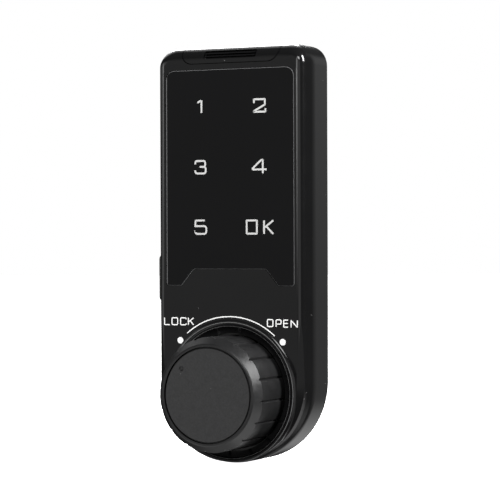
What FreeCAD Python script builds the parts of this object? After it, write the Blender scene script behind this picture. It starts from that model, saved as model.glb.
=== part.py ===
import FreeCAD, Part
import math
import os

from FreeCAD import Vector

# Keypad and knob locker lock. X is the width, Z is up, and the front looks towards -Y.
# The origin is on the knob's axis, in the face that lies against the locker door.
# A value named with "y" is a place along the depth: more negative is nearer the user.

# Three AAA cells stand side by side in a tray, and the lock's outside is sized round them
cell_radius = 5.25
cell_length = 44.5
cell_nub_radius = 1.9
cell_nub_height = 0.8
cell_edge = 0.4
cell_spacing = 0.4
cell_count = 3
cell_clearance = 0.15
cell_front_gap = 1.2
cell_back_gap = 0.7
tray_wall = 1.0
tray_floor = 2.0
tray_top_gap = 0.5
tray_hold = 1.15
ear_thickness = 1.2
ear_rim = 0.9
contact_thickness = 0.4
contact_inset = 1.3
contact_half_depth = 3.2
spring_height = 4.4
spring_radius = 2.6
spring_wire_radius = 0.3
spring_turns = 3.5

# Housing: a deep moulded shell with straight sides, a round lower end and rolled front edges.
# Its flat face stands a hair proud of the roll, and its lower end is bevelled.
arc_centre_z = 3.7
wall = 2.0
face_thickness = 2.6
edge_roll = 2.8
crown_roll = 6.0
corner_margin = 1.0
inner_edge_roll = 0.8
face_step = 0.15
plateau_inset = 2.4
plateau_top_inset = 6.95
plateau_corner = 3.0
bevel_angle = 31.8
bevel_run_out = 0.8
bevel_side_length = 28.3
skirt_gap = 0.3

# Rear: a die-cast plate closes the shell from inside the skirt, and a rubber gasket lies on it
gasket_thickness = 0.8
plate_thickness = 3.0
plate_clearance = 0.15
gasket_hole_margin = 1.35

# Housing screws: M2.5, countersunk in the plate, driven into bosses of the shell
screw_radius = 1.25
screw_clearance = 0.2
screw_head_radius = 2.3
screw_head_height = 1.4
screw_slot_half_width = 0.3
pilot_radius = 1.05
pilot_depth = 8.0
boss_rim = 1.0
boss_side_gap = 2.3
boss_wall_overlap = 0.2
upper_boss_drop = 15.0
middle_boss_rise = 2.0
lower_boss_angle = 311.2

# Fixing holes for the two M4 screws that come through the door
fixing_upper_drop = 12.0
fixing_edge_distance = 5.8
fixing_core_radius = 1.65
fixing_depth = 8.0
fixing_boss_radius = 3.6
fixing_boss_height = 6.0

# Touch window: a printed acrylic pane glued on a ledge, with a notch at its lower edge
window_side_inset = 3.5
window_top_gap = 2.25
window_bottom_drop = 0.5
window_thickness = 1.2
window_corner = 3.2
window_foot_corner = 1.0
window_bevel = 0.15
window_clearance = 0.12
tongue_foot_inset = 5.9
tongue_slant = 4.7
tongue_height = 5.7
tongue_corner = 1.6
adhesive_thickness = 0.2
adhesive_inset = 0.5
ledge_side = 3.0
ledge_foot = 2.3
ledge_head = 2.25
ledge_corner = 2.0

# Touch keys: two columns and three rows, each lit by its own well in the light guide
key_column_x = 11.3
key_top_drop = 12.55
key_pitch_z = 20.75
key_rows = 3
light_well_radius = 6.0
light_well_tip_radius = 3.0
light_well_depth = 1.0
guide_clearance = 0.2
led_width = 3.0
led_height = 1.6
led_thickness = 0.7

# Keypad board and what is soldered on its back
board_thickness = 1.2
board_boss_gap = 0.4
board_bottom_rise = 5.0
board_top_rise = 2.0
board_corner = 1.5
board_screw_inset = 8.2
board_screw_rise = 2.5
board_screw_length = 3.0
board_screw_radius = 1.0
board_head_radius = 1.9
board_head_height = 1.2
board_head_edge = 0.54
board_slot_half_width = 0.25
buzzer_radius = 5.0
buzzer_height = 3.2
buzzer_x = 8.5
buzzer_rise = 17.5
buzzer_tray_gap = 2.5
chip_width = 9.0
chip_height = 6.0
chip_thickness = 1.6
chip_x = -7.0

# Battery cover: a lid over the top edge that slides up, with a ribbed finger recess
cover_half_width = 18.5
cover_height = 6.0
cover_corner = 4.2
cover_thickness = 2.0
cover_gap = 0.22
recess_half_width = 10.0
recess_bottom_drop = 4.6
recess_top_drop = 1.7
recess_corner = 0.6
recess_depth = 0.7
rib_height = 0.4
rib_inset = 0.5
collar_wall = 1.2
collar_margin = 1.0
collar_half_depth = 4.9
collar_height = 3.1
cover_contact_gap = 0.2

# Port for a charging lead, in the left wall, with a rubber cover that pulls out
port_rise = 2.0
port_board_gap = 0.3
port_half_height = 4.6
port_half_depth = 2.3
port_cover_half_height = 8.0
port_cover_half_depth = 3.5
port_cover_proud = 1.15
port_cover_corner = 1.6
port_cover_edge = 0.5
port_plug_gap = 0.25
port_plug_end_gap = 0.1
socket_length = 11.6
socket_wall = 0.5

# Knob: sixteen shallow lobes with thin grooves between them, and an inlaid cap
knob_margin = 8.4
knob_projection = 17.1
knob_sink = 2.6
lobe_count = 16
lobe_bulge = 0.2
groove_depth = 0.55
groove_half_angle = 1.5
groove_phase = 16.9
bezel_height = 2.9
bezel_width = 2.2
bezel_edge_break = 0.25
bezel_edge_width = 0.45
rim_land = 0.55
cap_gap = 0.2
cap_step_width = 0.25
cap_thickness = 2.0
cap_sink = 0.1
cap_step = 0.7
cap_edge = 0.2
cap_seat_land = 2.4
cap_pocket_depth = 3.6
knob_web = 2.4
knob_wall = 2.2
hub_radius = 6.8
hub_setback = 1.2
knob_rib_count = 8
knob_rib_width = 1.2
dimple_radius = 0.9
dimple_depth = 0.3
dimple_inset = 2.75
dot_angle = 48.0

# Dish in the face round the knob: a raised lip, a sloping wall and a sunk floor
knob_gap = 0.7
dish_slope_width = 2.4
lip_inner_width = 1.3
lip_outer_width = 1.0
lip_height = 0.4
lip_edge_inset = 0.5
dish_depth = 1.2
dish_hollow = 0.22
well_depth = 3.2
well_floor = 2.2
well_wall = 0.9

# Spindle and the pieces on it
spindle_radius = 5.0
spindle_rear_radius = 4.0
running_fit = 0.06
key_fit = 0.03
drive_square = 7.0
rotor_flat = 4.0
rotor_rim = 2.7
rotor_thickness = 3.4
rotor_gap = 0.3
notch_clearance = 0.8
notch_half_width = 1.9
bush_radius = 6.5
bush_flange_width = 1.7
bush_flange = 1.1
clip_thickness = 0.7
clip_radius = 6.4
clip_groove_radius = 3.4
clip_mouth = 2.6
clip_boss_rim = 1.6
sleeve_radius = 9.0
sleeve_length = 11.6
sleeve_seat = 1.2
sleeve_chamfer = 0.6
tail_square = 6.0
knob_screw_radius = 1.7
knob_screw_length = 7.0
knob_head_radius = 3.4
knob_head_height = 2.0
knob_cross_reach = 2.0
knob_cross_half_width = 0.4
tapped_depth_margin = 1.0
tapped_clearance = 0.02

# Detent: a ball on a spring in the plate runs in a track in the rotor's back
ball_radius = 1.5
ball_clip_gap = 1.3
ball_angle = 225.0
ball_proud = 1.0
track_clearance = 0.3
detent_bore_clearance = 0.1
detent_boss_radius = 2.7
detent_spring_radius = 1.1
detent_wire_radius = 0.22
detent_spring_turns = 5.0
detent_bore_reach = 1.3

# Solenoid with a round bolt that drops into the rotor's notch
solenoid_half_width = 7.0
solenoid_rotor_gap = 5.0
solenoid_length = 16.0
solenoid_well_gap = 0.1
solenoid_depth = 7.9
solenoid_corner = 0.8
bolt_radius = 1.5
bolt_gap = 0.4
bolt_travel = 2.4
bolt_length = 15.0
bolt_bore_radius = 1.8
bolt_chamfer = 0.3
bracket_thickness = 0.8
bracket_bottom_rise = 6.5
bracket_top_drop = 1.0
bracket_foot = 6.0

# Cam: a steel blade on the spindle's tail, behind the door
cam_thickness = 2.5
cam_reach = 32.0
cam_end_radius = 8.0
cam_end_flat = 0.16
cam_shoulder = 12.8
cam_shoulder_corner = 4.0
cam_tip_half_width = 6.0
cam_tip_corner = 3.0
cam_angle = 183.0
cam_square_fit = 0.05
cam_washer_thickness = 1.0
cam_washer_radius = 7.0
cam_screw_radius = 2.1
cam_screw_depth = 9.0
cam_head_flats = 8.0
cam_head_height = 3.5

# Depths, from the door forwards: plate, cells, board and face
gasket_y = -gasket_thickness
skirt_y = -skirt_gap
plate_y = gasket_y - plate_thickness
cell_y = plate_y - cell_back_gap - cell_radius
board_back_y = cell_y - cell_radius - cell_front_gap
inner_face_y = board_back_y - board_thickness
face_y = inner_face_y - face_thickness
roll_y = face_y + face_step
ledge_y = face_y + window_thickness + adhesive_thickness
window_back_y = face_y + window_thickness
well_floor_y = face_y + well_depth
well_back_y = well_floor_y + well_floor
flange_back_y = well_back_y + bush_flange
rotor_y = flange_back_y + rotor_gap
rotor_back_y = rotor_y + rotor_thickness
bolt_y = (rotor_y + rotor_back_y) / 2
solenoid_front = well_back_y + solenoid_well_gap
solenoid_back = solenoid_front + solenoid_depth
detent_bore_bottom = plate_y + detent_bore_reach
knob_front_y = face_y - knob_projection
knob_back_y = face_y + knob_sink
port_centre_y = board_back_y + port_board_gap + port_half_depth

# Widths, from the cells outwards: tray, bosses, wall
cell_pitch = 2 * cell_radius + cell_spacing
tray_inner_half = (cell_count - 1) / 2 * cell_pitch + cell_radius + cell_clearance
tray_outer_half = tray_inner_half + tray_wall
contact_half_width = tray_inner_half - contact_inset
collar_half_width = contact_half_width + collar_margin
boss_radius = screw_head_radius + boss_rim
boss_x = tray_outer_half + boss_side_gap + boss_radius
ear_radius = boss_radius - ear_rim
half_width = boss_x + boss_radius - boss_wall_overlap + wall
board_half_width = boss_x - boss_radius - board_boss_gap
board_screw_x = board_half_width - board_screw_inset
window_half_width = half_width - window_side_inset
ledge_half_width = window_half_width - ledge_side
tongue_foot_half_width = window_half_width - tongue_foot_inset
tongue_half_width = tongue_foot_half_width - tongue_slant
corner_radius = crown_roll + corner_margin

# Radii of the lock's works, from the spindle's clip outwards: detent and rotor
clip_boss_radius = clip_radius + clip_boss_rim
ball_orbit = clip_boss_radius + ball_clip_gap
rotor_radius = ball_orbit + rotor_rim

# Heights, from the rotor upwards: solenoid, board, tray, cells and cover
solenoid_bottom = rotor_radius + solenoid_rotor_gap
solenoid_top = solenoid_bottom + solenoid_length
bracket_bottom = solenoid_bottom + bracket_bottom_rise
bracket_top = solenoid_top - bracket_top_drop
board_bottom = bracket_top + board_bottom_rise
board_screw_z = board_bottom + board_screw_rise
port_centre_z = board_bottom + port_rise
buzzer_z = board_bottom + buzzer_rise
tray_floor_top = buzzer_z + buzzer_radius + buzzer_tray_gap + tray_floor
cell_bottom_z = tray_floor_top + contact_thickness + spring_height
cover_contact_z = cell_bottom_z + cell_length + cover_contact_gap
tray_top = cover_contact_z - tray_top_gap
body_top = cover_contact_z + contact_thickness + collar_height + cover_thickness
cover_bottom = body_top - cover_height
recess_bottom = body_top - recess_bottom_drop
recess_top = body_top - recess_top_drop
window_bottom = board_bottom - window_bottom_drop
window_top = cover_bottom - window_top_gap
ledge_bottom = window_bottom + tongue_height + ledge_foot
ledge_top = window_top - ledge_head
board_top = ledge_top + board_top_rise
key_rows_z = [window_top - key_top_drop - row * key_pitch_z for row in range(key_rows)]
upper_boss_z = body_top - upper_boss_drop
middle_boss_z = tray_floor_top + middle_boss_rise
fixing_spots = [
    (0.0, tray_floor_top - tray_floor - fixing_upper_drop),
    (0.0, arc_centre_z - half_width + wall + fixing_edge_distance),
]

# Radii about the knob's axis, from the outside inwards
lobe_crest = half_width - knob_margin
lobe_edge = lobe_crest - lobe_bulge
groove_bottom = lobe_edge - groove_depth
bezel_front_radius = lobe_crest - bezel_width
rim_radius = bezel_front_radius - bezel_edge_width
cap_seat_radius = rim_radius - rim_land
cap_radius = cap_seat_radius - cap_gap
cap_face_radius = cap_radius - cap_step_width
cap_pocket_radius = cap_seat_radius - cap_seat_land
dimple_offset = cap_face_radius - dimple_inset
dish_floor_radius = lobe_crest + knob_gap
lip_inner_radius = dish_floor_radius + dish_slope_width
lip_crest_radius = lip_inner_radius + lip_inner_width
lip_outer_radius = lip_crest_radius + lip_outer_width
bush_flange_radius = bush_radius + bush_flange_width


def cut(shape, *tools):
    return shape.cut(list(tools))


def join(shape, *others):
    return shape.fuse(list(others)).removeSplitter()


def block(x0, x1, y0, y1, z0, z1):
    return Part.makeBox(x1 - x0, y1 - y0, z1 - z0, Vector(x0, y0, z0))


def disc(radius, y0, y1, x=0.0, z=0.0):
    """A cylinder along the depth."""
    return Part.makeCylinder(radius, y1 - y0, Vector(x, y0, z), Vector(0, 1, 0))


def ring(outer, inner, y0, y1, x=0.0, z=0.0):
    return disc(outer, y0, y1, x, z).cut(disc(inner, y0, y1, x, z))


def turned(wire):
    """Revolves a closed outline, drawn as radius along X and depth along Y, about the knob's axis."""
    return Part.Face(wire).revolve(Vector(0, 0, 0), Vector(0, 1, 0), 360)


def turned_polygon(points):
    corners = [Vector(radius, y, 0) for radius, y in points]
    return turned(Part.makePolygon(corners + corners[:1]))


def polar(radius, degrees, y=0.0, x=0.0, z=0.0):
    angle = math.radians(degrees)
    return Vector(x + radius * math.cos(angle), y, z + radius * math.sin(angle))


def screw_spots():
    """Two pairs of bosses beside the battery tray and one pair on the lower arc."""
    lower = polar(boss_x, lower_boss_angle, 0.0, 0.0, arc_centre_z)
    places = [(boss_x, upper_boss_z), (boss_x, middle_boss_z), (lower.x, lower.z)]
    return [(side * x, z) for x, z in places for side in (-1, 1)]


def arc(radius, start, end, x=0.0, z=0.0):
    middle = (start + end) / 2
    points = [polar(radius, angle, 0.0, x, z) for angle in (start, middle, end)]
    return Part.Arc(*points).toShape()


def line(start, end):
    return Part.LineSegment(start, end).toShape()


def prism(wire, y0, y1):
    """Extrudes an outline drawn in the X-Z plane from one depth to another."""
    solid = Part.Face(wire).extrude(Vector(0, y1 - y0, 0))
    solid.translate(Vector(0, y0, 0))
    return solid


def rounded_outline(corners):
    """A closed outline through (x, z, radius) corners, each rounded by its own radius."""
    edges = []
    count = len(corners)
    tangents = []
    for index, (x, z, radius) in enumerate(corners):
        here = Vector(x, 0, z)
        before = Vector(corners[index - 1][0], 0, corners[index - 1][1]) - here
        after = Vector(corners[(index + 1) % count][0], 0, corners[(index + 1) % count][1]) - here
        before.normalize()
        after.normalize()
        half_angle = before.getAngle(after) / 2
        reach = radius / math.tan(half_angle)
        bisector = before + after
        bisector.normalize()
        nearest = here + bisector * (radius / math.sin(half_angle) - radius)
        tangents.append((here + before * reach, nearest, here + after * reach))
    for index in range(count):
        start, middle, end = tangents[index]
        if corners[index][2] > 0:
            edges.append(Part.Arc(start, middle, end).toShape())
        following = tangents[(index + 1) % count][0]
        if (following - end).Length > 1e-6:
            edges.append(line(end, following))
    return Part.Wire(edges)


def rounded_rectangle(x0, x1, z0, z1, radius):
    return rounded_outline([(x0, z0, radius), (x1, z0, radius), (x1, z1, radius), (x0, z1, radius)])


def body_outline(inset):
    """The lock's outline seen from the front, moved inwards by an inset."""
    side = half_width - inset
    top = body_top - inset
    corner = corner_radius - inset
    corner_x = side - corner
    corner_z = top - corner
    return Part.Wire([
        arc(side, 180, 360, 0.0, arc_centre_z),
        line(Vector(side, 0, arc_centre_z), Vector(side, 0, corner_z)),
        arc(corner, 0, 90, corner_x, corner_z),
        line(Vector(corner_x, 0, top), Vector(-corner_x, 0, top)),
        arc(corner, 90, 180, -corner_x, corner_z),
        line(Vector(-side, 0, corner_z), Vector(-side, 0, arc_centre_z)),
    ])


def rolled_body(inset, y0, y1, side_roll, top_roll):
    """The outline as a solid whose front edge is rolled, more along the top than at the sides."""
    solid = prism(body_outline(inset), y0, y1)
    top = body_top - inset
    rolls = []
    for number, edge in enumerate(solid.Edges, 1):
        ends = [vertex.Point for vertex in edge.Vertexes]
        if any(abs(point.y - y0) > 1e-6 for point in ends):
            continue
        first, last = [top_roll if abs(point.z - top) < 1e-6 else side_roll for point in ends]
        rolls.append((number, first, last))
    document = FreeCAD.newDocument()
    base = document.addObject("Part::Feature", "Base")
    base.Shape = solid
    fillet = document.addObject("Part::Fillet", "Roll")
    fillet.Base = base
    fillet.Edges = rolls
    document.recompute()
    rolled = fillet.Shape.copy()
    FreeCAD.closeDocument(document.Name)
    return rolled.Solids[0]


def plateau():
    """The flat of the face, whose edge stands proud of the roll."""
    side = half_width - plateau_inset
    top = body_top - plateau_top_inset
    corner_x = side - plateau_corner
    corner_z = top - plateau_corner
    outline = Part.Wire([
        arc(side, 180, 360, 0.0, arc_centre_z),
        line(Vector(side, 0, arc_centre_z), Vector(side, 0, corner_z)),
        arc(plateau_corner, 0, 90, corner_x, corner_z),
        line(Vector(corner_x, 0, top), Vector(-corner_x, 0, top)),
        arc(plateau_corner, 90, 180, -corner_x, corner_z),
        line(Vector(-side, 0, corner_z), Vector(-side, 0, arc_centre_z)),
    ])
    return prism(outline, face_y, inner_face_y)


def lower_bevel():
    """Bevels the edge round the lower end; up each side the bevel runs out into the roll."""
    start = half_width - edge_roll
    slope = math.tan(math.radians(bevel_angle))
    inner = Vector(start - edge_roll, face_y - edge_roll * slope, arc_centre_z)
    outer = Vector(half_width + edge_roll, face_y + 2 * edge_roll * slope, arc_centre_z)
    front = Vector(outer.x, inner.y, arc_centre_z)
    section = Part.Face(Part.makePolygon([inner, outer, front, inner]))
    end = section.revolve(Vector(0, 0, arc_centre_z), Vector(0, 1, 0), 180)
    side = section.extrude(Vector(bevel_run_out, 0, bevel_side_length))
    return [end, side, side.mirror(Vector(0, 0, 0), Vector(1, 0, 0))]


def window_outline(grow):
    """The pane's outline, with the housing's tongue reaching into its lower edge."""
    side = window_half_width + grow
    low = window_bottom - grow
    high = window_top + grow
    tongue_top = window_bottom + tongue_height - grow
    foot = tongue_foot_half_width - grow
    shoulder = tongue_half_width - grow
    return rounded_outline([
        (-side, high, window_corner),
        (-side, low, window_foot_corner),
        (-foot, low, window_foot_corner),
        (-shoulder, tongue_top, tongue_corner),
        (shoulder, tongue_top, tongue_corner),
        (foot, low, window_foot_corner),
        (side, low, window_foot_corner),
        (side, high, window_corner),
    ])


def ledge_outline(shrink):
    return rounded_rectangle(
        -ledge_half_width + shrink, ledge_half_width - shrink,
        ledge_bottom + shrink, ledge_top - shrink, ledge_corner,
    )


def cover_region(grow):
    """The notch over the top edge that the battery cover fills."""
    side = cover_half_width + grow
    low = cover_bottom - grow
    high = body_top + cover_thickness
    outline = rounded_outline([
        (-side, low, cover_corner), (side, low, cover_corner), (side, high, 0.0), (-side, high, 0.0),
    ])
    return prism(outline, face_y - cover_thickness, plate_y)


def coil(radius, wire_radius, length, turns, start):
    """A compression spring along +Z from a start point, with its wire's centre on a helix."""
    helix = Part.makeHelix(length / turns, length, radius)
    corners = [polar(wire_radius, corner * 45, 0.0, radius) for corner in range(8)]
    section = Part.makePolygon(corners + corners[:1])
    spring = Part.Wire(helix.Edges).makePipeShell([section], True, False)
    spring.translate(start)
    return spring


def lip_and_dish():
    """The raised lip round the knob, as one ring, and the tool that sinks the dish inside it."""
    start = Vector(lip_outer_radius, face_y, 0)
    crest = Vector(lip_crest_radius, face_y - lip_height, 0)
    inner = Vector(lip_inner_radius, face_y - lip_height / 4, 0)
    low_inner = Vector(lip_inner_radius, inner_face_y, 0)
    low_outer = Vector(lip_outer_radius, inner_face_y, 0)
    lip = turned(Part.Wire([
        Part.Arc(start, crest, inner).toShape(),
        line(inner, low_inner),
        line(low_inner, low_outer),
        line(low_outer, start),
    ]))
    slope_top = Vector(lip_inner_radius, face_y - lip_height / 4, 0)
    slope_end = Vector(dish_floor_radius, face_y + dish_depth, 0)
    slope_middle = (slope_top + slope_end) * 0.5 + Vector(0.0, dish_hollow, 0)
    floor = Vector(dish_floor_radius, well_floor_y, 0)
    front = face_y - cover_thickness
    dish = turned(Part.Wire([
        Part.Arc(slope_top, slope_middle, slope_end).toShape(),
        line(slope_end, floor),
        line(floor, Vector(0, well_floor_y, 0)),
        line(Vector(0, well_floor_y, 0), Vector(0, front, 0)),
        line(Vector(0, front, 0), Vector(lip_inner_radius, front, 0)),
        line(Vector(lip_inner_radius, front, 0), slope_top),
    ]))
    return lip.common(prism(body_outline(lip_edge_inset), face_y - lip_height, inner_face_y)), dish


def front_housing():
    shell = rolled_body(0.0, roll_y, skirt_y, edge_roll, crown_roll)
    shell = cut(join(shell, plateau()), *lower_bevel())
    cavity = rolled_body(wall, inner_face_y, skirt_y, inner_edge_roll, crown_roll - wall)
    shell = shell.cut(cavity)
    lip, dish = lip_and_dish()
    additions = [lip, disc(dish_floor_radius + well_wall, inner_face_y, well_back_y)]
    for x, z in screw_spots():
        additions.append(disc(boss_radius, inner_face_y, boss_end_y(x), x, z))
    shell = join(shell, *additions)
    tools = [
        dish,
        disc(bush_radius + running_fit, well_floor_y, well_back_y),
        prism(window_outline(window_clearance), face_y - lip_height, ledge_y),
        prism(ledge_outline(0.0), ledge_y, inner_face_y),
        cover_region(cover_gap),
        block(
            -half_width, -half_width + wall,
            port_centre_y - port_half_depth, port_centre_y + port_half_depth,
            port_centre_z - port_half_height, port_centre_z + port_half_height,
        ),
    ]
    for x, z in screw_spots():
        tools.append(disc(pilot_radius, plate_y - pilot_depth, plate_y, x, z))
    for x, z in board_screw_spots() + bracket_screw_spots():
        tools.append(disc(board_screw_radius, inner_face_y - board_screw_length + board_thickness,
                          inner_face_y, x, z))
    return cut(shell, *tools)


def boss_end_y(x):
    """The upper four bosses stop short, so that the battery tray's ears are clamped on them."""
    return plate_y - ear_thickness if abs(x) == boss_x else plate_y


def board_screw_spots():
    return [(-board_screw_x, board_screw_z), (board_screw_x, board_screw_z)]


def bracket_screw_spots():
    x = solenoid_half_width + bracket_thickness + bracket_foot / 2
    z = (bracket_bottom + bracket_top) / 2
    return [(-x, z), (x, z)]


def back_plate():
    plate = prism(body_outline(wall + plate_clearance), plate_y, gasket_y)
    ball = polar(ball_orbit, ball_angle)
    plate = join(
        plate,
        disc(clip_boss_radius, clip_back_y() + rotor_gap, plate_y),
        disc(detent_boss_radius, rotor_back_y + rotor_gap, plate_y, ball.x, ball.z),
        *[disc(fixing_boss_radius, plate_y - fixing_boss_height, plate_y, x, z)
          for x, z in fixing_spots],
    )
    tools = [
        disc(spindle_rear_radius + running_fit, rotor_back_y, gasket_y),
        disc(sleeve_radius + key_fit, gasket_y - sleeve_seat, gasket_y),
        disc(ball_radius + detent_bore_clearance, rotor_back_y, detent_bore_bottom, ball.x, ball.z),
        disc(clip_radius + rotor_gap, rotor_back_y, clip_back_y() + rotor_gap),
    ]
    tools += [disc(fixing_core_radius, gasket_y - fixing_depth, gasket_y, x, z)
              for x, z in fixing_spots]
    for x, z in screw_spots():
        tools.append(disc(screw_radius + screw_clearance, plate_y, gasket_y, x, z))
        tools.append(countersink(x, z, screw_clearance))
    return cut(plate, *tools)


def clip_back_y():
    return rotor_back_y + clip_thickness


def countersink(x, z, clearance):
    depth = screw_head_height + clearance
    narrow = screw_radius + clearance
    wide = screw_head_radius + clearance
    return Part.makeCone(narrow, wide, depth, Vector(x, gasket_y - depth, z), Vector(0, 1, 0))


def door_gasket():
    sheet = prism(body_outline(wall + plate_clearance), gasket_y, 0.0)
    holes = [disc(sleeve_radius + screw_clearance, gasket_y, 0.0)]
    holes += [disc(fixing_core_radius + gasket_hole_margin, gasket_y, 0.0, x, z) for x, z in fixing_spots]
    holes += [disc(screw_head_radius + screw_clearance, gasket_y, 0.0, x, z)
              for x, z in screw_spots()]
    return cut(sheet, *holes)


def spindle_sleeve():
    """The sleeve pressed into the plate, which passes through the door and carries the spindle."""
    bore = spindle_rear_radius + running_fit
    return turned_polygon([
        (bore, gasket_y - sleeve_seat),
        (sleeve_radius, gasket_y - sleeve_seat),
        (sleeve_radius, sleeve_length - sleeve_chamfer),
        (sleeve_radius - sleeve_chamfer, sleeve_length),
        (bore, sleeve_length),
    ])


def housing_screws():
    screws = []
    tip_y = plate_y - pilot_depth + screw_head_height
    for x, z in screw_spots():
        head = countersink(x, z, 0.0)
        neck = disc(screw_radius, boss_end_y(x), gasket_y - screw_head_height, x, z)
        thread = disc(pilot_radius, tip_y, boss_end_y(x), x, z)
        screw = join(head, neck, thread)
        slot = block(x - screw_head_radius, x + screw_head_radius,
                     gasket_y - screw_head_height / 2, gasket_y,
                     z - screw_slot_half_width, z + screw_slot_half_width)
        screws.append(screw.cut(slot))
    return Part.makeCompound(screws)


def touch_window():
    pane = prism(window_outline(0.0), face_y, window_back_y)
    front_edges = [edge for edge in pane.Edges
                   if all(abs(vertex.Point.y - face_y) < 1e-6 for vertex in edge.Vertexes)]
    return pane.makeChamfer(window_bevel, front_edges)


def window_adhesive():
    frame = prism(window_outline(-adhesive_inset), window_back_y, ledge_y)
    return frame.cut(prism(ledge_outline(0.0), window_back_y, ledge_y))


def key_spots():
    return [(side * key_column_x, z) for z in key_rows_z for side in (-1, 1)]


def light_guide():
    guide = prism(ledge_outline(guide_clearance), window_back_y, inner_face_y)
    wells = [
        Part.makeCone(light_well_radius, light_well_tip_radius, light_well_depth,
                      Vector(x, inner_face_y, z), Vector(0, -1, 0))
        for x, z in key_spots()
    ]
    return cut(guide, *wells)


def key_leds():
    leds = [
        block(x - led_width / 2, x + led_width / 2, inner_face_y - led_thickness, inner_face_y,
              z - led_height / 2, z + led_height / 2)
        for x, z in key_spots()
    ]
    return Part.makeCompound(leds)


def keypad_board():
    board = prism(
        rounded_rectangle(-board_half_width, board_half_width, board_bottom, board_top, board_corner),
        inner_face_y, board_back_y,
    )
    holes = [disc(board_screw_radius + screw_clearance, inner_face_y, board_back_y, x, z)
             for x, z in board_screw_spots()]
    return cut(board, *holes)


def pan_screw(x, z, seat_y, tip_y):
    """A small pan-head screw that points at the user, with its head on a seat."""
    head = disc(board_head_radius, seat_y, seat_y + board_head_height, x, z)
    rim = [edge for edge in head.Edges
           if all(vertex.Point.y > seat_y + 1e-6 for vertex in edge.Vertexes)
           and edge.Curve.TypeId == "Part::GeomCircle"]
    head = head.makeFillet(board_head_edge, rim)
    slot = block(x - board_head_radius, x + board_head_radius,
                 seat_y + board_head_edge, seat_y + board_head_height,
                 z - board_slot_half_width, z + board_slot_half_width)
    return join(head, disc(board_screw_radius, tip_y, seat_y, x, z)).cut(slot)


def board_screws():
    tip_y = inner_face_y - board_screw_length + board_thickness
    return Part.makeCompound([pan_screw(x, z, board_back_y, tip_y) for x, z in board_screw_spots()])


def bracket_screws():
    seat_y = inner_face_y + bracket_thickness
    tip_y = inner_face_y - board_screw_length + board_thickness
    return Part.makeCompound([pan_screw(x, z, seat_y, tip_y) for x, z in bracket_screw_spots()])


def buzzer():
    can = disc(buzzer_radius, board_back_y, board_back_y + buzzer_height, buzzer_x, buzzer_z)
    top = board_back_y + buzzer_height
    return can.cut(disc(buzzer_radius / 4, top - buzzer_height / 4, top, buzzer_x, buzzer_z))


def control_chip():
    return block(chip_x - chip_width / 2, chip_x + chip_width / 2,
                 board_back_y, board_back_y + chip_thickness,
                 buzzer_z - chip_height / 2, buzzer_z + chip_height / 2)


def cell_columns():
    first = -(cell_count - 1) / 2 * cell_pitch
    return [first + index * cell_pitch for index in range(cell_count)]


def battery_cell(x):
    base = Vector(x, cell_y, cell_bottom_z)
    can_length = cell_length - cell_nub_height
    can = Part.makeCylinder(cell_radius, can_length, base)
    can = can.makeFillet(cell_edge, [edge for edge in can.Edges
                                     if edge.Curve.TypeId == "Part::GeomCircle"])
    nub = Part.makeCylinder(cell_nub_radius, cell_nub_height, base + Vector(0, 0, can_length))
    return join(can, nub)


def battery_tray():
    bore = cell_radius + cell_clearance
    tray = block(-tray_outer_half, tray_outer_half, board_back_y, cell_y + tray_hold,
                 tray_floor_top - tray_floor, tray_top)
    floor = block(-tray_outer_half, tray_outer_half, board_back_y, cell_y + cell_radius,
                  tray_floor_top - tray_floor, tray_floor_top)
    ears = []
    holes = []
    for side in (-1, 1):
        for z in (upper_boss_z, middle_boss_z):
            inner_x = side * tray_inner_half
            outer_x = side * tray_outer_half
            boss = side * boss_x
            ear_y = plate_y - ear_thickness
            arm = block(min(inner_x, boss), max(inner_x, boss), ear_y, plate_y,
                        z - ear_radius, z + ear_radius)
            post = block(min(inner_x, outer_x), max(inner_x, outer_x),
                         board_back_y, plate_y, z - ear_radius, z + ear_radius)
            ears += [arm, post, disc(ear_radius, ear_y, plate_y, boss, z)]
            holes.append(disc(screw_radius + screw_clearance, ear_y, plate_y, boss, z))
    tray = join(tray, floor, *ears)
    height = body_top - tray_floor_top
    bores = [Part.makeCylinder(bore, height, Vector(x, cell_y, tray_floor_top))
             for x in cell_columns()]
    middle = block(cell_columns()[0], cell_columns()[-1],
                   cell_y - contact_half_depth - cell_clearance, plate_y, tray_floor_top, body_top)
    return cut(tray, middle, *bores, *holes)


def battery_contact():
    return block(-contact_half_width, contact_half_width,
                 cell_y - contact_half_depth, cell_y + contact_half_depth,
                 tray_floor_top, tray_floor_top + contact_thickness)


def battery_springs():
    base_z = tray_floor_top + contact_thickness + spring_wire_radius
    length = spring_height - 2 * spring_wire_radius
    return Part.makeCompound([
        coil(spring_radius, spring_wire_radius, length, spring_turns, Vector(x, cell_y, base_z))
        for x in cell_columns()
    ])


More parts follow.
